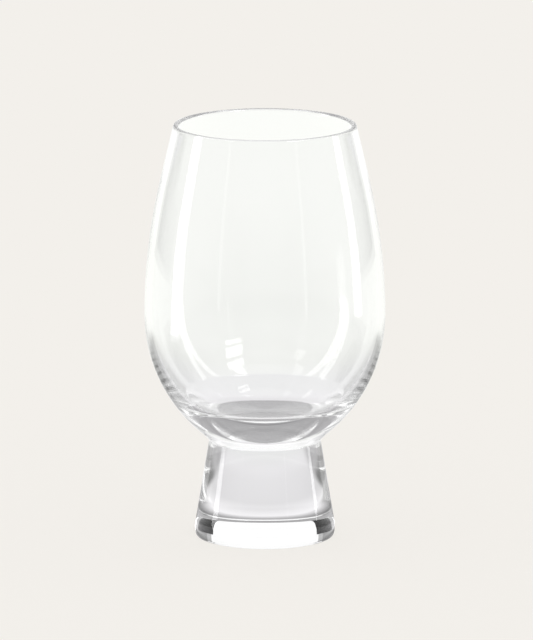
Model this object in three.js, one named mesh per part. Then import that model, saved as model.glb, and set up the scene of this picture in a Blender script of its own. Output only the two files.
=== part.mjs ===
// A footed beer glass in clear glass: an egg-shaped bowl, fused to a solid tapered foot.
// Millimetres, +Z up. The origin is the centre of the base, on the surface that the glass stands on.
import * as THREE from "three";

// Overall size
const height = 150; // base to the top of the rim

// Bowl, outside
const bellyRadius = 43.2; // widest outside radius
const bellyHeight = 80.8; // height of that widest ring
const shoulderArc = 211; // arc of the wall above the belly
const rimLean = THREE.MathUtils.degToRad(13.4); // how far the wall leans in at the rim
const collarRadius = 23.1; // radius where the underside passes into the hollow collar
const collarRise = 3.3; // height of the collar above the seam

// Bowl, inside
const rimWall = 1.9; // wall at the rim
const bellyWall = 2.2; // wall at the belly
const sideGather = 7; // how much tighter the inside turns than the underside, so the wall thickens
const floorGlass = 7.75; // solid glass between the seam and the lowest point inside
const cornerRise = 8; // height of the floor's rounded corner above that point
const cornerLead = 2.65; // how far the corner keeps the direction of the side
const floorLead = 6.5; // how far the floor stays near its lowest height

// Foot
const footHeight = 34.9; // height of the fused seam between foot and bowl
const footSpread = 25.8; // radius that the cone has at the table, before its heel is rounded
const footTaper = Math.atan(0.1645); // half angle of the cone
const heelReach = 1.4; // how far the rounded bottom edge reaches in along the base
const heelRise = 5; // how far it reaches up the cone
const ringWidth = 3.4; // the flat ring that the glass stands on, inside the heel
const puntDepth = 0.3; // the shallow hollow inside that ring

// Fineness of the surfaces
const turnSteps = 64; // steps round the axis
const cornerSteps = 14; // steps along the floor and its corner
const heelSteps = 8; // steps round the heel
const cordError = 0.05; // how far a straight step may stand off its arc

const point = (r, z) => new THREE.Vector2(r, z);
const directionOf = (angle) => point(Math.cos(angle), Math.sin(angle));
const angleFrom = (centre, p) => Math.atan2(p.y - centre.y, p.x - centre.x);

// Points along an arc about a centre, from one angle to another, the first left out.
function arc(centre, radius, from, to) {
  const largestStep = 2 * Math.acos(1 - cordError / radius);
  const steps = Math.max(3, Math.ceil(Math.abs(to - from) / largestStep));
  const points = [];
  for (let i = 1; i <= steps; i++) {
    const angle = from + ((to - from) * i) / steps;
    points.push(centre.clone().addScaledVector(directionOf(angle), radius));
  }
  return points;
}

// The cone's radius at a height.
const coneRadius = (z) => footSpread - z * Math.tan(footTaper);

// Foot: a solid cone that narrows upwards, with a rounded heel and a shallow punt.
function footProfile() {
  const corner = point(footSpread, 0);
  const heelStart = point(footSpread - heelReach, 0);
  const puntRadius = heelStart.x - ringWidth;
  const puntArc = (puntRadius ** 2 + puntDepth ** 2) / (2 * puntDepth);
  const puntAngle = Math.asin(puntRadius / puntArc);
  const heelEnd = point(coneRadius(heelRise), heelRise);
  const heel = new THREE.CubicBezierCurve(
    heelStart,
    heelStart.clone().lerp(corner, 0.5),
    heelEnd.clone().lerp(corner, 0.5),
    heelEnd,
  );
  return [
    point(0, puntDepth),
    ...arc(point(0, puntDepth - puntArc), puntArc, Math.PI / 2, Math.PI / 2 - puntAngle),
    ...heel.getPoints(heelSteps),
    point(coneRadius(footHeight), footHeight),
    point(0, footHeight),
  ];
}

// Underside: the arc that is upright at the belly and passes through the top of the collar.
const collarTop = point(collarRadius, footHeight + collarRise);
const underReach = bellyRadius - collarRadius;
const underArc = (underReach ** 2 + (bellyHeight - collarTop.y) ** 2) / (2 * underReach);
const underCentre = point(bellyRadius - underArc, bellyHeight);

// Collar: the arc that leaves the seam's edge and runs into the underside without a kink.
function collar(seamEdge) {
  const outwards = collarTop.clone().sub(underCentre).normalize();
  const chord = collarTop.clone().sub(seamEdge);
  const reach = -chord.lengthSq() / (2 * chord.dot(outwards));
  const centre = collarTop.clone().addScaledVector(outwards, reach);
  const from = angleFrom(centre, seamEdge);
  const turn = angleFrom(centre, collarTop) - from;
  const shortWay = turn - 2 * Math.PI * Math.round(turn / (2 * Math.PI));
  return arc(centre, Math.abs(reach), from, from + shortWay);
}

// Inside below the belly: an arc down to the corner, then a curve that dips towards the middle and lies
// level there.
function insideBelow() {
  const floorHeight = footHeight + floorGlass;
  const sideArc = underArc - bellyWall - sideGather;
  const sideCentre = point(underCentre.x + sideGather, bellyHeight);
  const sideAngle = Math.asin((bellyHeight - floorHeight - cornerRise) / sideArc);
  const side = arc(sideCentre, sideArc, 0, -sideAngle);
  const sideEnd = side.at(-1);
  const downwards = directionOf(-sideAngle - Math.PI / 2);
  const corner = new THREE.CubicBezierCurve(
    sideEnd,
    sideEnd.clone().addScaledVector(downwards, cornerLead),
    point(floorLead, floorHeight),
    point(0, floorHeight),
  );
  return [...side, ...corner.getPoints(cornerSteps).slice(1)];
}

// Bowl: one closed outline, up the outside from the seam, over the rim and down the inside to its floor.
function bowlProfile() {
  const seamEdge = point(coneRadius(footHeight), footHeight);
  const shoulderCentre = point(bellyRadius - shoulderArc, bellyHeight);

  // The rim is a half round across the wall.
  const lipRadius = rimWall / 2;
  const lean = directionOf(rimLean);
  const lipHeight = height - lipRadius;
  const shoulderTop = shoulderCentre.clone().addScaledVector(lean, shoulderArc - lipRadius);
  const lipCentre = point(
    shoulderTop.x - (lipHeight - shoulderTop.y) * Math.tan(rimLean),
    lipHeight,
  );
  const lipInside = lipCentre.clone().addScaledVector(lean, -lipRadius);

  // Inside above the belly: straight on from the lip, then an arc that is upright at the belly.
  const insideRadius = bellyRadius - bellyWall;
  const fall = lipInside.y - bellyHeight;
  const insideArc =
    (fall * Math.sin(rimLean) - (insideRadius - lipInside.x) * Math.cos(rimLean)) /
    (1 - Math.cos(rimLean));
  const insideCentre = point(insideRadius - insideArc, bellyHeight);
  return [
    point(0, footHeight),
    seamEdge,
    ...collar(seamEdge),
    ...arc(underCentre, underArc, angleFrom(underCentre, collarTop), 0),
    ...arc(shoulderCentre, shoulderArc, 0, rimLean),
    lipCentre.clone().addScaledVector(lean, lipRadius),
    ...arc(lipCentre, lipRadius, rimLean, rimLean + Math.PI),
    insideCentre.clone().addScaledVector(lean, insideArc),
    ...arc(insideCentre, insideArc, rimLean, 0),
    ...insideBelow(),
  ];
}

// A profile turned about the vertical axis.
function turned(name, profile, material) {
  const geometry = new THREE.LatheGeometry(profile, turnSteps);
  geometry.rotateX(Math.PI / 2);
  const mesh = new THREE.Mesh(geometry, material);
  mesh.name = name;
  return mesh;
}

const clearGlass = () =>
  new THREE.MeshStandardMaterial({
    color: 0xf4f7f8,
    roughness: 0.02,
    metalness: 0,
    transparent: true,
    opacity: 0.35,
  });

const glass = new THREE.Group();
glass.add(turned("foot", footProfile(), clearGlass()));
glass.add(turned("bowl", bowlProfile(), clearGlass()));

export default glass;
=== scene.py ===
# %% [markdown]
# # A footed beer glass in clear glass
# A glassmaker joins two gathers of hot glass: an egg-shaped bowl, open at the top, and a short solid foot
# that widens to the table. This lesson turns both out of their outlines, gives them clear glass, and
# lights them like a product on a white table, because clear glass shows only what stands around it.

# %% Load the model
import math

import bpy
import numpy as np
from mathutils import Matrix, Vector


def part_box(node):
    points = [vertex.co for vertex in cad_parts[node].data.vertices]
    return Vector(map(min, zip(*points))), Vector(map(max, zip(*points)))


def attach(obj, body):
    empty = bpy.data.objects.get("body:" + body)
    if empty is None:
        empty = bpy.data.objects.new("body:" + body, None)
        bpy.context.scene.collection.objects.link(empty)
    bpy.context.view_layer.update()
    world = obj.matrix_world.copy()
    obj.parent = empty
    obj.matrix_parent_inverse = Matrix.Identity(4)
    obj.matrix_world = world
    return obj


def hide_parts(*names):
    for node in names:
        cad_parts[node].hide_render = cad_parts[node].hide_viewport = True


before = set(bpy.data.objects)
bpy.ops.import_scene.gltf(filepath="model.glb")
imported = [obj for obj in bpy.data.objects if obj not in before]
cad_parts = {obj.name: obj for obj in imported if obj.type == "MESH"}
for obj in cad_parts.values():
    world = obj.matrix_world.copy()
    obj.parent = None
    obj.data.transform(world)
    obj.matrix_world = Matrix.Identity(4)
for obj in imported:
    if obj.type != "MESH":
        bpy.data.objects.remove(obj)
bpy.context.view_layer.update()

# %% [markdown]
# The outline of each piece is drawn in millimetres as the drawing of the glass gives it, then turned about
# the upright axis. The two pieces meet at the seam, so its height is read from the model's own foot.

# %% Sizes of the glass
MM = 0.001
seam_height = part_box("foot")[1][2] / MM
rim_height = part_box("bowl")[1][2] / MM

belly_radius, belly_height = 43.2, 80.8
shoulder_arc, rim_lean = 211.0, math.radians(13.4)
collar_radius, collar_rise = 23.1, 3.3
rim_wall, belly_wall, side_gather = 1.9, 2.2, 7.0
floor_glass, corner_rise, corner_lead, floor_lead = 7.75, 8.0, 2.65, 6.5
foot_spread, foot_slope = 25.8, 0.1645
heel_reach, heel_rise = 1.4, 5.0
punt_radius, punt_depth = 21.0, 0.3
crease_fillet = 0.4
print("seam at", round(seam_height, 2), "mm, rim at", round(rim_height, 2), "mm")


# %% [markdown]
# Both outlines are made of straight lines, arcs and Bezier curves. Each of these is worked out as a whole
# array of points, so that the wall can be as fine as the light needs: glass bends light by its slope, and a
# coarse outline would show as rings.

# %% Lines, arcs and curves
ARC_STEP = math.radians(1.2)  # the angle from one point of an arc to the next
FEWEST_ON_ARC = 6
SAME_POINT = 1e-4  # mm: two points that are closer than this are one


def direction(angle):
    """The unit vector at an angle: (cosine, sine)."""
    return np.array([math.cos(angle), math.sin(angle)])


def angle_of(centre, point):
    """The angle at which a point lies, seen from a centre."""
    return math.atan2(point[1] - centre[1], point[0] - centre[0])


def straight(start, end, count):
    """Points start + t (end - start), for t from 0 to 1."""
    start, end = np.array(start), np.array(end)
    return start + np.linspace(0, 1, count)[:, None] * (end - start)


def arc(centre, radius, start, end, step=ARC_STEP):
    """Points centre + radius * (cos a, sin a), for a going in even steps from start to end."""
    count = max(FEWEST_ON_ARC, int(abs(end - start) / step) + 1)
    a = np.linspace(start, end, count)
    return np.column_stack([centre[0] + radius * np.cos(a), centre[1] + radius * np.sin(a)])


def bezier(a, b, c, d, count):
    """Points (1-t)^3 a + 3(1-t)^2 t b + 3(1-t) t^2 c + t^3 d, for t from 0 to 1."""
    t = np.linspace(0, 1, count)[:, None]
    return (1 - t) ** 3 * a + 3 * (1 - t) ** 2 * t * b + 3 * (1 - t) * t**2 * c + t**3 * d


def outline(*parts):
    """The parts one after another, with the points that repeat left out."""
    line = np.vstack(parts)
    keep = np.r_[True, np.hypot(*np.diff(line, axis=0).T) > SAME_POINT]
    return line[keep]


print("a quarter turn takes", len(arc((0, 0), 1, 0, math.pi / 2)), "points")

# %% [markdown]
# Outside, the foot is a cone with a rounded heel. Above the seam a hollow arc, the collar, swings out into
# the underside of the bowl. On hot glass that inner corner never stays sharp, so a small fillet fills it,
# and the seam plane cuts the fillet: each piece keeps its own share.

# %% The crease between foot and bowl
COLLAR_STEP, FILLET_STEP = 0.02, math.radians(5)

foot_taper = math.atan(foot_slope)
seam_edge = np.array([foot_spread - foot_slope * seam_height, seam_height])
collar_top = np.array([collar_radius, seam_height + collar_rise])
under_reach = belly_radius - collar_radius
under_arc = (under_reach**2 + (belly_height - collar_top[1]) ** 2) / (2 * under_reach)
under_centre = np.array([belly_radius - under_arc, belly_height])

outwards = (collar_top - under_centre) / np.linalg.norm(collar_top - under_centre)
chord = collar_top - seam_edge
collar_arc = -(chord @ chord) / (2 * chord @ outwards)
collar_centre = collar_top + collar_arc * outwards
collar_start = angle_of(collar_centre, seam_edge)
collar_turn = (angle_of(collar_centre, collar_top) - collar_start + math.pi) % (2 * math.pi) - math.pi
collar = arc(collar_centre, abs(collar_arc), collar_start, collar_start + collar_turn, COLLAR_STEP)


def crease():
    """The arc that touches the cone below the seam and the collar above it."""
    up_cone = direction(foot_taper + math.pi / 2)
    up_collar = (collar[1] - collar[0]) / np.linalg.norm(collar[1] - collar[0])
    bend = math.acos(np.clip(up_cone @ up_collar, -1, 1))
    start = seam_edge - up_cone * crease_fillet * math.tan(bend / 2)
    centre = start + direction(foot_taper) * crease_fillet
    from_angle = foot_taper + math.pi
    return arc(centre, crease_fillet, from_angle, from_angle - bend, FILLET_STEP)


fillet = crease()
crease_point = np.array([np.interp(seam_height, fillet[:, 1], fillet[:, 0]), seam_height])
print("underside arc", round(under_arc, 1), "collar arc", round(collar_arc, 1), "mm")


# %% [markdown]
# The foot's outline starts in the middle of the shallow punt, runs along the flat ring that the glass
# stands on, round the heel and up the cone, and ends on the axis in the seam plane.

# %% Outline of the foot
SEAM_POINTS, RING_POINTS, HEEL_POINTS, CONE_POINTS = 12, 6, 30, 60
PUNT_STEP = 0.002  # radians, as the punt's arc is very wide


def foot_outline():
    """Punt arc, flat resting ring, Bezier heel, straight cone, lower share of the fillet, seam."""
    punt_arc = (punt_radius**2 + punt_depth**2) / (2 * punt_depth)
    punt_angle = math.asin(punt_radius / punt_arc)
    corner = np.array([foot_spread, 0.0])
    start = corner - np.array([heel_reach, 0.0])
    end = np.array([foot_spread - foot_slope * heel_rise, heel_rise])
    heel = bezier(start, (start + corner) / 2, (end + corner) / 2, end, HEEL_POINTS)
    low_fillet = fillet[fillet[:, 1] < seam_height]
    return outline(
        arc((0, punt_depth - punt_arc), punt_arc, math.pi / 2, math.pi / 2 - punt_angle, PUNT_STEP),
        straight((punt_radius, 0), start, RING_POINTS),
        heel,
        straight(end, low_fillet[0], CONE_POINTS),
        low_fillet,
        straight(crease_point, (0, seam_height), SEAM_POINTS))


foot_line = foot_outline()
print("foot outline", len(foot_line), "points")


# %% [markdown]
# The bowl's outline goes from the seam up the outside, over the half-round lip and down the inside. Below
# the belly the inside turns tighter than the outside, which gathers glass at the bottom, and a soft corner
# leads to a floor that dips to the middle. That thick bottom is the lens that makes the dark and bright
# bands above the foot.

# %% Outline of the bowl
WALL_STEP, LIP_STEP = math.radians(0.35), math.radians(9)
STRAIGHT_POINTS, FLOOR_POINTS = 18, 60
COLLAR_GAP = 0.03  # mm: the least rise from the fillet to the collar's next point


def bowl_outline():
    """Seam, fillet, collar, underside arc, shoulder arc, straight to the lip, lip, and back down inside."""
    lean = direction(rim_lean)
    lip = rim_wall / 2
    shoulder_centre = np.array([belly_radius - shoulder_arc, belly_height])
    shoulder_top = shoulder_centre + lean * (shoulder_arc - lip)
    lip_height = rim_height - lip
    lip_centre = np.array([shoulder_top[0] - (lip_height - shoulder_top[1]) * math.tan(rim_lean),
                           lip_height])
    lip_inside = lip_centre - lean * lip
    inside_radius = belly_radius - belly_wall
    inside_arc = (((lip_inside[1] - belly_height) * math.sin(rim_lean)
                   - (inside_radius - lip_inside[0]) * math.cos(rim_lean)) / (1 - math.cos(rim_lean)))

    high_fillet = fillet[fillet[:, 1] > seam_height]
    shoulder = arc(shoulder_centre, shoulder_arc, 0, rim_lean, WALL_STEP)
    inside = arc((inside_radius - inside_arc, belly_height), inside_arc, rim_lean, 0, WALL_STEP)
    return outline(
        straight((0, seam_height), crease_point, SEAM_POINTS),
        high_fillet,
        collar[collar[:, 1] > high_fillet[-1][1] + COLLAR_GAP],
        arc(under_centre, under_arc, angle_of(under_centre, collar_top), 0),
        shoulder,
        straight(shoulder[-1], lip_centre + lean * lip, STRAIGHT_POINTS),
        arc(lip_centre, lip, rim_lean, rim_lean + math.pi, LIP_STEP),
        straight(lip_inside, inside[0], STRAIGHT_POINTS),
        inside,
        inside_below(inside_radius))


def inside_below(inside_radius):
    """Side arc from the belly to the corner, then a Bezier curve that ends level on the axis."""
    floor_height = seam_height + floor_glass
    side_arc = under_arc - belly_wall - side_gather
    side_angle = math.asin((belly_height - floor_height - corner_rise) / side_arc)
    side = arc((inside_radius - side_arc, belly_height), side_arc, 0, -side_angle)
    downwards = direction(-side_angle - math.pi / 2)
    floor = bezier(side[-1], side[-1] + downwards * corner_lead,
                   np.array([floor_lead, floor_height]), np.array([0.0, floor_height]), FLOOR_POINTS)
    return outline(side, floor)


bowl_line = bowl_outline()
print("bowl outline", len(bowl_line), "points")


# %% [markdown]
# Turning an outline is one formula on a grid: the outline's radius and height along one way, the angle
# round the axis along the other. The two ends lie on the axis, and each becomes a single point with a fan
# of triangles, so the surface is closed. The formula's volume shows that the faces point outwards.

# %% Turn an outline
TURN_STEPS = 256
SHARP_EDGE = math.radians(50)  # only edges that bend more than this are shaded as edges


def turned(name, line):
    """The surface (r(u) cos v, r(u) sin v, z(u)) of an outline (r, z), closed at its two ends on the axis."""
    rings = line[1:-1] * MM
    angle = np.arange(TURN_STEPS) * 2 * math.pi / TURN_STEPS
    grid = np.stack([
        rings[:, :1] * np.cos(angle), rings[:, :1] * np.sin(angle),
        np.repeat(rings[:, 1:], TURN_STEPS, axis=1)], axis=-1)
    ends = np.array([[0, 0, line[0, 1]], [0, 0, line[-1, 1]]]) * MM
    points = np.vstack([grid.reshape(-1, 3), ends])

    ring = np.arange(len(rings) * TURN_STEPS).reshape(len(rings), TURN_STEPS)
    beside = np.roll(ring, -1, axis=1)
    quads = np.stack([ring[:-1], beside[:-1], beside[1:], ring[1:]], axis=-1).reshape(-1, 4)
    first, last = len(points) - 2, len(points) - 1
    low_fan = np.column_stack([np.full(TURN_STEPS, first), beside[0], ring[0]])
    high_fan = np.column_stack([np.full(TURN_STEPS, last), ring[-1], beside[-1]])

    mesh = bpy.data.meshes.new(name)
    mesh.from_pydata(points, [], quads.tolist() + low_fan.tolist() + high_fan.tolist())
    mesh.shade_smooth()
    mesh.set_sharp_from_angle(angle=SHARP_EDGE)
    piece = bpy.data.objects.new(name, mesh)
    bpy.context.scene.collection.objects.link(piece)
    return piece


def enclosed_volume(piece):
    """The sum over all triangles of a . (b x c) / 6, positive where the faces point outwards."""
    mesh = piece.data
    mesh.calc_loop_triangles()
    corners = np.empty(len(mesh.loop_triangles) * 3, dtype=np.int32)
    mesh.loop_triangles.foreach_get("vertices", corners)
    places = np.empty(len(mesh.vertices) * 3)
    mesh.vertices.foreach_get("co", places)
    a, b, c = (places.reshape(-1, 3)[corners.reshape(-1, 3)[:, k]] for k in range(3))
    return float(np.einsum("ij,ij->i", a, np.cross(b, c)).sum() / 6)


foot = turned("solid_foot", foot_line)
bowl = turned("egg_bowl", bowl_line)
for piece in (foot, bowl):
    millilitres = enclosed_volume(piece) / 1e-6
    print(piece.name, len(piece.data.polygons), "faces,", round(millilitres, 1), "ml of glass")

# %% [markdown]
# Each new piece stands for the plain solid of the same part and rides on the glass's one body.

# %% Put the pieces in place
for piece, node in ((foot, "foot"), (bowl, "bowl")):
    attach(piece, "root")
    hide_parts(node)
print("pieces", foot.name, bowl.name)


# %% [markdown]
# Hot glass is never perfectly even. A blown bowl keeps slow waves from the bubble, and a pressed foot keeps
# finer ones from its mould. Both finishes share one shader group that mixes a slow and a fine noise into a
# height; each material turns that height into a very faint bump.

# %% Ripple of hot glass
SQUEEZE = (1, 1, 2.5)  # the waves are shorter along the axis than round it


def math_node(nodes, links, operation, *values):
    """One Math node; each input is a number or an output socket."""
    node = nodes.new("ShaderNodeMath")
    node.operation = operation
    for k, value in enumerate(values):
        if isinstance(value, (int, float)):
            node.inputs[k].default_value = value
        else:
            links.new(value, node.inputs[k])
    return node.outputs[0]


def new_group(name, inputs, output):
    """A shader node group with float sockets of these names."""
    group = bpy.data.node_groups.new(name, "ShaderNodeTree")
    for socket, value in inputs.items():
        given = group.interface.new_socket(socket, in_out="INPUT", socket_type="NodeSocketFloat")
        given.default_value = value
    group.interface.new_socket(output, in_out="OUTPUT", socket_type="NodeSocketFloat")
    return group


def glass_ripple():
    """Height = slow noise * slow amount + fine noise * fine amount, both squeezed along the axis."""
    group = new_group("glass_ripple", {"Slow Scale": 30, "Slow Amount": 1,
                                       "Fine Scale": 200, "Fine Amount": 0.2}, "Height")
    nodes, links = group.nodes, group.links
    given = nodes.new("NodeGroupInput")
    squeezed = nodes.new("ShaderNodeMapping")
    squeezed.inputs["Scale"].default_value = SQUEEZE
    links.new(nodes.new("ShaderNodeTexCoord").outputs["Object"], squeezed.inputs["Vector"])
    waves = []
    for size in ("Slow", "Fine"):
        noise = nodes.new("ShaderNodeTexNoise")
        noise.inputs["Detail"].default_value = 1.0
        links.new(given.outputs[size + " Scale"], noise.inputs["Scale"])
        links.new(squeezed.outputs["Vector"], noise.inputs["Vector"])
        waves.append(math_node(nodes, links, "MULTIPLY", noise.outputs["Fac"],
                               given.outputs[size + " Amount"]))
    height = math_node(nodes, links, "ADD", *waves)
    links.new(height, nodes.new("NodeGroupOutput").inputs["Height"])
    return group


ripple = glass_ripple()
print("group", ripple.name, "with", len(ripple.nodes), "nodes")


# %% [markdown]
# Clear soda glass bends light by 1.5 and takes almost nothing from it, so the shader is a Principled BSDF
# with full transmission. Where foot and bowl are fused there is no surface at all, so the two discs in the
# seam plane get an empty finish that lets light straight through.

# %% Clear glass
GLASS_TINT = (0.998, 0.999, 1.0, 1)
GLASS_IOR = 1.5
IN_PLANE, LEVEL = 1e-6, 0.999  # metres off the seam plane, and the upright share of a level face's normal


def clear_glass(name, roughness, slow, fine, depth):
    """Clear glass whose normal leans with the ripple's height times this depth in metres.

    slow and fine are the scale and the amount of each noise."""
    material = bpy.data.materials.new(name)
    material.use_nodes = True
    nodes, links = material.node_tree.nodes, material.node_tree.links
    glass = nodes["Principled BSDF"]
    glass.inputs["Base Color"].default_value = GLASS_TINT
    glass.inputs["Roughness"].default_value = roughness
    glass.inputs["IOR"].default_value = GLASS_IOR
    glass.inputs["Transmission Weight"].default_value = 1.0
    waves = nodes.new("ShaderNodeGroup")
    waves.node_tree = ripple
    for size, (scale, amount) in (("Slow", slow), ("Fine", fine)):
        waves.inputs[size + " Scale"].default_value = scale
        waves.inputs[size + " Amount"].default_value = amount
    bump = nodes.new("ShaderNodeBump")
    bump.inputs["Distance"].default_value = depth
    bump.inputs["Strength"].default_value = 1.0
    links.new(waves.outputs["Height"], bump.inputs["Height"])
    links.new(bump.outputs["Normal"], glass.inputs["Normal"])
    return material


def fused_seam():
    """A finish with no surface: alpha zero, so light goes straight on."""
    material = bpy.data.materials.new("fused_seam")
    material.use_nodes = True
    material.node_tree.nodes["Principled BSDF"].inputs["Alpha"].default_value = 0.0
    return material


def faces_in_seam(piece):
    """True for the level faces whose middle lies in the seam plane."""
    faces = piece.data.polygons
    normals, middles = np.empty(len(faces) * 3), np.empty(len(faces) * 3)
    faces.foreach_get("normal", normals)
    faces.foreach_get("center", middles)
    in_plane = np.abs(middles.reshape(-1, 3)[:, 2] - seam_height * MM) < IN_PLANE
    return in_plane & (np.abs(normals.reshape(-1, 3)[:, 2]) > LEVEL)


blown = clear_glass("blown_clear_glass", roughness=0.035, slow=(22, 1.0), fine=(90, 0.05), depth=0.00003)
pressed = clear_glass("pressed_clear_glass", roughness=0.0, slow=(40, 1.0), fine=(160, 0.1), depth=0.00002)
empty = fused_seam()
for piece, finish in ((bowl, blown), (foot, pressed)):
    piece.data.materials.append(finish)
    piece.data.materials.append(empty)
    in_seam = faces_in_seam(piece)
    piece.data.polygons.foreach_set("material_index", in_seam.astype(np.int32))
    print(piece.name, "has", int(in_seam.sum()), "faces in the seam")


# %% [markdown]
# The camera stands 2.7 m in front of the glass and looks down by almost 12 degrees through a long lens, so
# the rim is a narrow ellipse and the foot's edge a slightly rounder one.

# %% Camera
CAMERA_PLACE = (0.00057, -2.724, 0.649)
LOOKS_DOWN = 11.827  # degrees
FOCAL_LENGTH, SENSOR_WIDTH = 436.6, 36  # mm
FARTHEST_SEEN = 50  # metres

camera = bpy.data.objects.new("camera", bpy.data.cameras.new("camera"))
bpy.context.scene.collection.objects.link(camera)
camera.data.sensor_width = SENSOR_WIDTH
camera.data.lens = FOCAL_LENGTH
camera.data.clip_end = FARTHEST_SEEN
camera.location = CAMERA_PLACE
camera.rotation_euler = (math.radians(90 - LOOKS_DOWN), 0, 0)
bpy.context.scene.camera = camera
print("camera", [round(v, 3) for v in camera.location])


# %% [markdown]
# The camera sees a plain warm-white ground, and the glass sees a studio. Light Path tells the two apart,
# because a ray that has passed through the glass or bounced off it is a transmission or a glossy ray. Its
# Glossy Depth counts the reflections on its way, also those inside the glass. At 0 the ray has only passed
# through, and it finds pale surroundings on every side, so the glass is clear from wherever one looks. A
# reflected ray finds a studio that is bright behind the glass and darker in front of it.

# %% Plain ground for the camera, a studio for the glass
GROUND_ON_SCREEN = (243, 240, 235)
WHITE = (1, 1, 1)
HALF = 0.5  # half a step tells one whole number from the next


def linear(value):
    """A screen value from 0 to 255 as linear light."""
    share = value / 255
    return share / 12.92 if share <= 0.04045 else ((share + 0.055) / 1.055) ** 2.4


ground_colour = tuple(linear(v) for v in GROUND_ON_SCREEN) + (1.0,)


def bare_nodes(owner):
    """The nodes and links of a material or world, emptied first."""
    owner.use_nodes = True
    owner.node_tree.nodes.clear()
    return owner.node_tree.nodes, owner.node_tree.links


def ray(nodes, question):
    """What Light Path answers about a ray."""
    return nodes.new("ShaderNodeLightPath").outputs[question]


def seen_by_glass(nodes, links):
    """1 for glossy and transmission rays, otherwise 0."""
    return math_node(nodes, links, "MAXIMUM", ray(nodes, "Is Glossy Ray"), ray(nodes, "Is Transmission Ray"))


def straight_through(nodes, links):
    """1 for a ray that has only passed through glass, 0 once it has been reflected."""
    return math_node(nodes, links, "LESS_THAN", ray(nodes, "Glossy Depth"), HALF)


def side_angle(nodes, links, vector):
    """Degrees between the front (0), the side (90) and the back (180): the size of atan2(x, -y)."""
    parts = nodes.new("ShaderNodeSeparateXYZ")
    links.new(vector, parts.inputs[0])
    forward = math_node(nodes, links, "MULTIPLY", parts.outputs["Y"], -1.0)
    turn = math_node(nodes, links, "ARCTAN2", parts.outputs["X"], forward)
    return math_node(nodes, links, "DEGREES", math_node(nodes, links, "ABSOLUTE", turn)), parts


def rise(nodes, links, value, low, high):
    """A smooth step from 0 at low to 1 at high: t^2 (3 - 2t), where t is the share of the way."""
    node = nodes.new("ShaderNodeMapRange")
    node.interpolation_type = "SMOOTHSTEP"
    node.inputs["From Min"].default_value = low
    node.inputs["From Max"].default_value = high
    links.new(value, node.inputs["Value"])
    return node.outputs["Result"]


def ramp(nodes, links, value, stops):
    """A colour ramp through (position, brightness) or (position, brightness, tint) stops."""
    node = nodes.new("ShaderNodeValToRGB")
    while len(node.color_ramp.elements) < len(stops):
        node.color_ramp.elements.new(HALF)
    for element, (position, bright, *tint) in zip(node.color_ramp.elements, stops):
        element.position = position
        element.color = tuple(bright * part for part in (tint[0] if tint else WHITE)) + (1,)
    links.new(value, node.inputs[0])
    return node.outputs[0]


def blend(nodes, links, share, first, second):
    """first * (1 - share) + second * share, for colours, whose sockets are the last ones of the node."""
    node = nodes.new("ShaderNodeMix")
    node.data_type = "RGBA"
    links.new(share, node.inputs[0])
    links.new(first, node.inputs[6])
    links.new(second, node.inputs[7])
    return node.outputs[2]


def one_colour(nodes, kind, colour):
    """A shader node of this kind with one plain colour."""
    node = nodes.new(kind)
    node.inputs["Color"].default_value = colour
    return node.outputs[0]


def mix_shader(nodes, links, share, first, second):
    """The first shader at share 0, the second at share 1; share is a number or an output socket."""
    node = nodes.new("ShaderNodeMixShader")
    if isinstance(share, float):
        node.inputs[0].default_value = share
    else:
        links.new(share, node.inputs[0])
    links.new(first, node.inputs[1])
    links.new(second, node.inputs[2])
    return node.outputs[0]


print("ground", [round(v, 3) for v in ground_colour[:3]])


# %% [markdown]
# The table is one large quad. To the camera it is matt and warm white, partly lit by itself, so that the
# glass keeps only a soft shadow. To the glass it glows, with light and shade painted in by the distance from
# the axis: painted shade under the foot, a darker painted shadow where the glass meets the table, a painted
# bright ring of gathered light round that, then white. Reflected rays find it grow dark towards the front.
# Two narrow painted shadows of the glass fall back to the left and to the right, dark beside the foot and
# faint further out.

# %% Table
COOL, WARM = (1.0, 0.988, 1.005), (0.99, 1.0, 0.965)
# Ramps by the distance from the axis in metres
# Painted shade under the foot, then a darker painted contact shadow where the glass meets the table
PAINTED_SHADE_UNDER_FOOT = [(0.0, 0.41, COOL), (0.025, 0.41, COOL), (0.0255, 0.12, COOL), (0.0293, 0.12, COOL)]
TOWARDS_BACK = PAINTED_SHADE_UNDER_FOOT + [
    (0.0303, 0.97, COOL), (0.0325, 1.0, COOL), (0.035, 0.85, COOL), (0.038, 0.76, COOL),
    (0.058, 0.81, COOL), (0.067, 0.86, COOL), (0.08, 0.845), (0.14, 0.85),
    (0.22, 0.925, WARM), (0.28, 0.99, WARM), (0.4, 1.02, WARM)]
TOWARDS_FRONT = PAINTED_SHADE_UNDER_FOOT + [
    (0.0303, 0.9), (0.034, 0.35, COOL), (0.044, 0.35, COOL), (0.055, 0.9, COOL), (0.075, 1.0),
    (0.1, 0.95), (0.14, 0.65), (0.2, 0.55), (0.3, 0.4), (0.45, 0.25), (0.7, 0.15)]
# How strong the two painted shadow beams are, by the distance from the axis
SHADOW_REACH = [(0.028, 0.0), (0.034, 0.9), (0.042, 0.9), (0.05, 0.4), (0.24, 0.4), (0.3, 0.0)]
# Side angles in degrees
FRONT_TO_BACK = (40, 140)  # between these the front ramp passes into the back one
SHADOW_TURN, SHADOW_SPREAD = 145.0, (7, 15)  # the middle of each shadow, and where its edge begins and ends
OWN_LIGHT = 0.87  # how much of what the camera sees of the table is its own light
TABLE_REACH = 8.0  # metres


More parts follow.
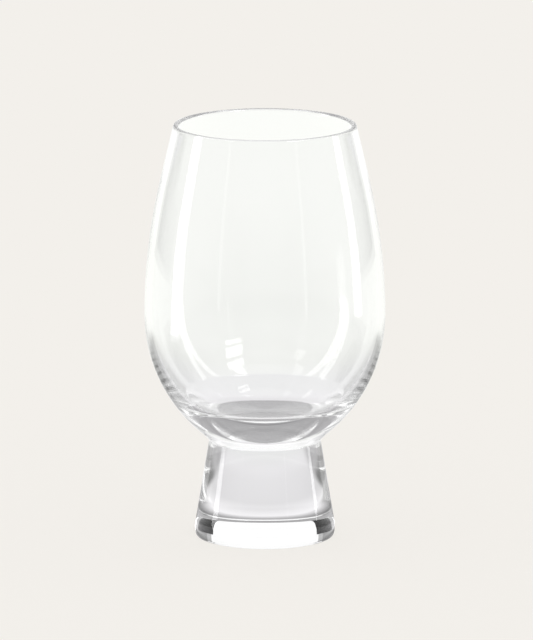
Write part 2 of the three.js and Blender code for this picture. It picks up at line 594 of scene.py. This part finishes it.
def table_material():
    """Camera: matt ground colour. Glass: a glowing surface with light and shade painted in by distance and by
    side angle.
    """
    material = bpy.data.materials.new("white_table")
    nodes, links = bare_nodes(material)
    place = nodes.new("ShaderNodeTexCoord").outputs["Object"]
    length = nodes.new("ShaderNodeVectorMath")
    length.operation = "LENGTH"
    links.new(place, length.inputs[0])
    away = length.outputs["Value"]
    turn, _ = side_angle(nodes, links, place)
    back_share = math_node(nodes, links, "MAXIMUM", rise(nodes, links, turn, *FRONT_TO_BACK),
                           straight_through(nodes, links))
    painted_by_distance = blend(nodes, links, back_share, ramp(nodes, links, away, TOWARDS_FRONT),
                     ramp(nodes, links, away, TOWARDS_BACK))
    off_shadow = math_node(nodes, links, "ABSOLUTE",
                           math_node(nodes, links, "SUBTRACT", turn, SHADOW_TURN))
    beam = math_node(nodes, links, "SUBTRACT", 1.0, rise(nodes, links, off_shadow, *SHADOW_SPREAD))
    shade = math_node(nodes, links, "MULTIPLY", beam, ramp(nodes, links, away, SHADOW_REACH))
    glow = nodes.new("ShaderNodeEmission")
    links.new(painted_by_distance, glow.inputs["Color"])
    links.new(math_node(nodes, links, "SUBTRACT", 1.0, shade), glow.inputs["Strength"])

    to_camera = mix_shader(nodes, links, OWN_LIGHT,
                           one_colour(nodes, "ShaderNodeBsdfDiffuse", ground_colour),
                           one_colour(nodes, "ShaderNodeEmission", ground_colour))
    surface = mix_shader(nodes, links, seen_by_glass(nodes, links), to_camera, glow.outputs[0])
    links.new(surface, nodes.new("ShaderNodeOutputMaterial").inputs["Surface"])
    return material


def stage_mesh(name, points, faces, material):
    """A mesh that belongs to the studio and not to the glass."""
    mesh = bpy.data.meshes.new(name)
    mesh.from_pydata(points, [], faces)
    mesh.materials.append(material)
    thing = bpy.data.objects.new(name, mesh)
    bpy.context.scene.collection.objects.link(thing)
    return thing


stage_mesh("table", [(-TABLE_REACH, -TABLE_REACH, 0), (TABLE_REACH, -TABLE_REACH, 0),
                     (TABLE_REACH, TABLE_REACH, 0), (-TABLE_REACH, TABLE_REACH, 0)],
           [(0, 1, 2, 3)], table_material())
print("table", TABLE_REACH * 2, "m wide")


# %% [markdown]
# Softboxes, lamps and the lit sweep are plain lit cards. They are hidden from the camera and from matt
# surfaces, so they only make the edges, streaks and glints in the glass: a tall narrow box at each side, two
# thin stands and four lamps high in front, and the sweep behind with dark flags at either side of it. A lamp
# that showed through the clear wall would be a hard white patch, so what is brighter than white is left out
# for a ray that has only passed through. After the first reflection a lamp keeps only part of its light,
# because the solid foot throws light to and fro and would end in a bright scribble.

# %% Lit cards
WHITEST_BACKGROUND = 1.1
LATER_SHARE = 0.3  # what is left of a lamp after the first reflection
CARD_DISTANCE = 0.75  # metres from the axis
GLEAM_HEIGHT = 0.0004  # metres above the table
SEEN_FROM = 0.06  # metres: the height in the glass from which a lamp's elevations are counted


def lit(name, strength):
    """A surface that only shines.

    Brighter than white it is left out straight through the glass, shines at full strength in the first
    reflection, and at strength * later share in the others."""
    material = bpy.data.materials.new(name)
    nodes, links = bare_nodes(material)
    glow = nodes.new("ShaderNodeEmission")
    glow.inputs["Strength"].default_value = strength
    result = nodes.new("ShaderNodeOutputMaterial").inputs["Surface"]
    if strength <= WHITEST_BACKGROUND:
        links.new(glow.outputs[0], result)
        return material
    once = math_node(nodes, links, "COMPARE", ray(nodes, "Glossy Depth"), 1.0, HALF)
    links.new(math_node(nodes, links, "MULTIPLY_ADD", once, strength * (1 - LATER_SHARE),
                        strength * LATER_SHARE), glow.inputs["Strength"])
    nothing = nodes.new("ShaderNodeBsdfTransparent").outputs[0]
    links.new(mix_shader(nodes, links, straight_through(nodes, links), glow.outputs[0], nothing), result)
    return material


def towards(azimuth, distance, height):
    """The point (d sin a, -d cos a, height): azimuth a counts from the camera's side towards +X."""
    a = math.radians(azimuth)
    return np.array([math.sin(a) * distance, -math.cos(a) * distance, height])


def unseen(thing):
    """Hides a card from the camera and from matt surfaces."""
    thing.visible_camera = False
    thing.visible_diffuse = False
    thing.visible_shadow = False


def card(name, azimuth, spread, low, high, strength, distance=CARD_DISTANCE, columns=1):
    """An upright band of quads round the glass, from azimuth - spread/2 to azimuth + spread/2."""
    turns = np.linspace(azimuth - spread / 2, azimuth + spread / 2, columns + 1)
    points = [towards(t, distance, z) for z in (low, high) for t in turns]
    faces = [(k, k + 1, columns + k + 2, columns + k + 1) for k in range(columns)]
    unseen(stage_mesh(name, points, faces, lit(name, strength)))


def lamp(name, azimuth, spread, lowest, highest, strength, distance=CARD_DISTANCE, columns=1):
    """A card between two elevations e, each at height = seen from + distance * tan(e)."""
    low, high = (SEEN_FROM + distance * math.tan(math.radians(e)) for e in (lowest, highest))
    card(name, azimuth, spread, low, high, strength, distance, columns)


def gleam(name, azimuth, spread, near, far, strength):
    """A painted reflection of the softbox on the table: a flat glowing quad that points at the glass."""
    half = spread / 2
    points = [towards(azimuth + side * half, away, GLEAM_HEIGHT) for away, side in
              ((near, -1), (near, 1), (far, 1), (far, -1))]
    unseen(stage_mesh(name, points, [(0, 1, 2, 3)], lit(name, strength)))


print("lamps keep", LATER_SHARE, "of their light after the first reflection")

# %% [markdown]
# Each light has its azimuth and its spread in degrees. An upright card then has its lower and upper edge in
# metres, a gleam on the table its near and far end, and a lamp its lowest and highest elevation in degrees.
# The strength comes last, where 1 is white.

# %% Where the lights stand
LEFT_BOX, RIGHT_BOX, BEHIND = (-92, 11), (99, 7.5), (180, 74)
BOX_TOP, BOX_LIGHT = 2.6, 4.5
LAMP_LIGHT = 7.0
SWEEP = {"distance": 0.95, "columns": 16}
FLAG = {"distance": 0.9, "columns": 4}

card("left_softbox", *LEFT_BOX, 0, BOX_TOP, BOX_LIGHT)
card("right_softbox", *RIGHT_BOX, 0, BOX_TOP, BOX_LIGHT)
# Painted reflections of the two softboxes on the table
gleam("left_gleam_tip", *LEFT_BOX, 0.27, 0.34, 1.5)
gleam("left_gleam", *LEFT_BOX, 0.34, CARD_DISTANCE, BOX_LIGHT)
gleam("right_gleam", *RIGHT_BOX, 0.5, CARD_DISTANCE, BOX_LIGHT)
card("left_stand", -44, 1.2, 0, 0.95, 1.3)
card("right_stand", 39, 1.2, 0, 0.46, 1.3)
lamp("key_lamp", 40, 21, 30, 33.5, LAMP_LIGHT)
lamp("key_lamp_top", 42, 24, 36, 41.5, LAMP_LIGHT)
lamp("high_lamp", 53, 18, 53, 68, LAMP_LIGHT)
lamp("fill_lamp", -52, 14, 38, 47, 2.5)
lamp("white_sweep", *BEHIND, -4, 24, 1.06, **SWEEP)
lamp("upper_sweep", *BEHIND, 24, 60, 0.95, **SWEEP)
for side, name in ((-1, "left"), (1, "right")):
    lamp(name + "_flag", side * 130, 30, 7, 25, 0.0, **FLAG)
    lamp(name + "_flag_foot", side * 119.5, 35, -4, 7, 0.3, **FLAG)


# %% [markdown]
# The world does the rest: the plain ground colour for the camera and an even white for matt surfaces. A ray
# that has only passed through glass finds pale walls all round, and a reflected ray a grey room that is
# darker in front, where the camera stands. All these greys follow the height looked at, and they end in a
# large soft light overhead.

# %% World
FRONT_TO_SIDE = (25, 75)  # side angles in degrees between which the front of the room passes into its sides


def by_elevation(*stops):
    """Ramp stops by the sine of the elevation, from (degrees, grey) pairs."""
    return [(math.sin(math.radians(degrees)), grey) for degrees, grey in stops]


SIDE_ROOM = by_elevation((0, 0.5), (20, 0.5), (36, 0.7), (44, 1.1), (70, 1.15))
PALE_ROUND = by_elevation((0, 1.0), (24, 1.0), (44, 1.1), (70, 1.15))
FRONT_ROOM = by_elevation(
    (0, 0.15), (8, 0.3), (15, 0.45), (26, 0.45), (30, 0.25), (38, 0.25), (44, 1.1), (70, 1.2))


def room():
    """Background light by ray: ground colour, even white, pale walls or the greys of the room."""
    world = bpy.data.worlds.new("room")
    bpy.context.scene.world = world
    nodes, links = bare_nodes(world)
    turn, parts = side_angle(nodes, links, nodes.new("ShaderNodeTexCoord").outputs["Generated"])
    front, sides, pale = (ramp(nodes, links, parts.outputs["Z"], stops)
                          for stops in (FRONT_ROOM, SIDE_ROOM, PALE_ROUND))
    grey = blend(nodes, links, rise(nodes, links, turn, *FRONT_TO_SIDE), front, sides)
    to_glass = nodes.new("ShaderNodeBackground")
    links.new(blend(nodes, links, straight_through(nodes, links), grey, pale), to_glass.inputs["Color"])
    unseen_by_camera = mix_shader(nodes, links, seen_by_glass(nodes, links),
                                  one_colour(nodes, "ShaderNodeBackground", WHITE + (1,)),
                                  to_glass.outputs[0])
    surface = mix_shader(nodes, links, ray(nodes, "Is Camera Ray"), unseen_by_camera,
                         one_colour(nodes, "ShaderNodeBackground", ground_colour))
    links.new(surface, nodes.new("ShaderNodeOutputWorld").inputs["Surface"])
    return world


print("world", room().name)

# %% [markdown]
# Light that enters the wall at the lip runs down inside it like in a light guide, with dozens of bounces.
# With few bounces allowed the lip would go black, so the limits are raised.

# %% Bounces and colour
MOST_BOUNCES = 128
scene = bpy.context.scene
scene.cycles.max_bounces = MOST_BOUNCES
scene.cycles.glossy_bounces = MOST_BOUNCES
scene.cycles.transmission_bounces = MOST_BOUNCES
scene.cycles.transparent_max_bounces = MOST_BOUNCES
scene.view_settings.view_transform = "Standard"
print("bounces", scene.cycles.max_bounces)
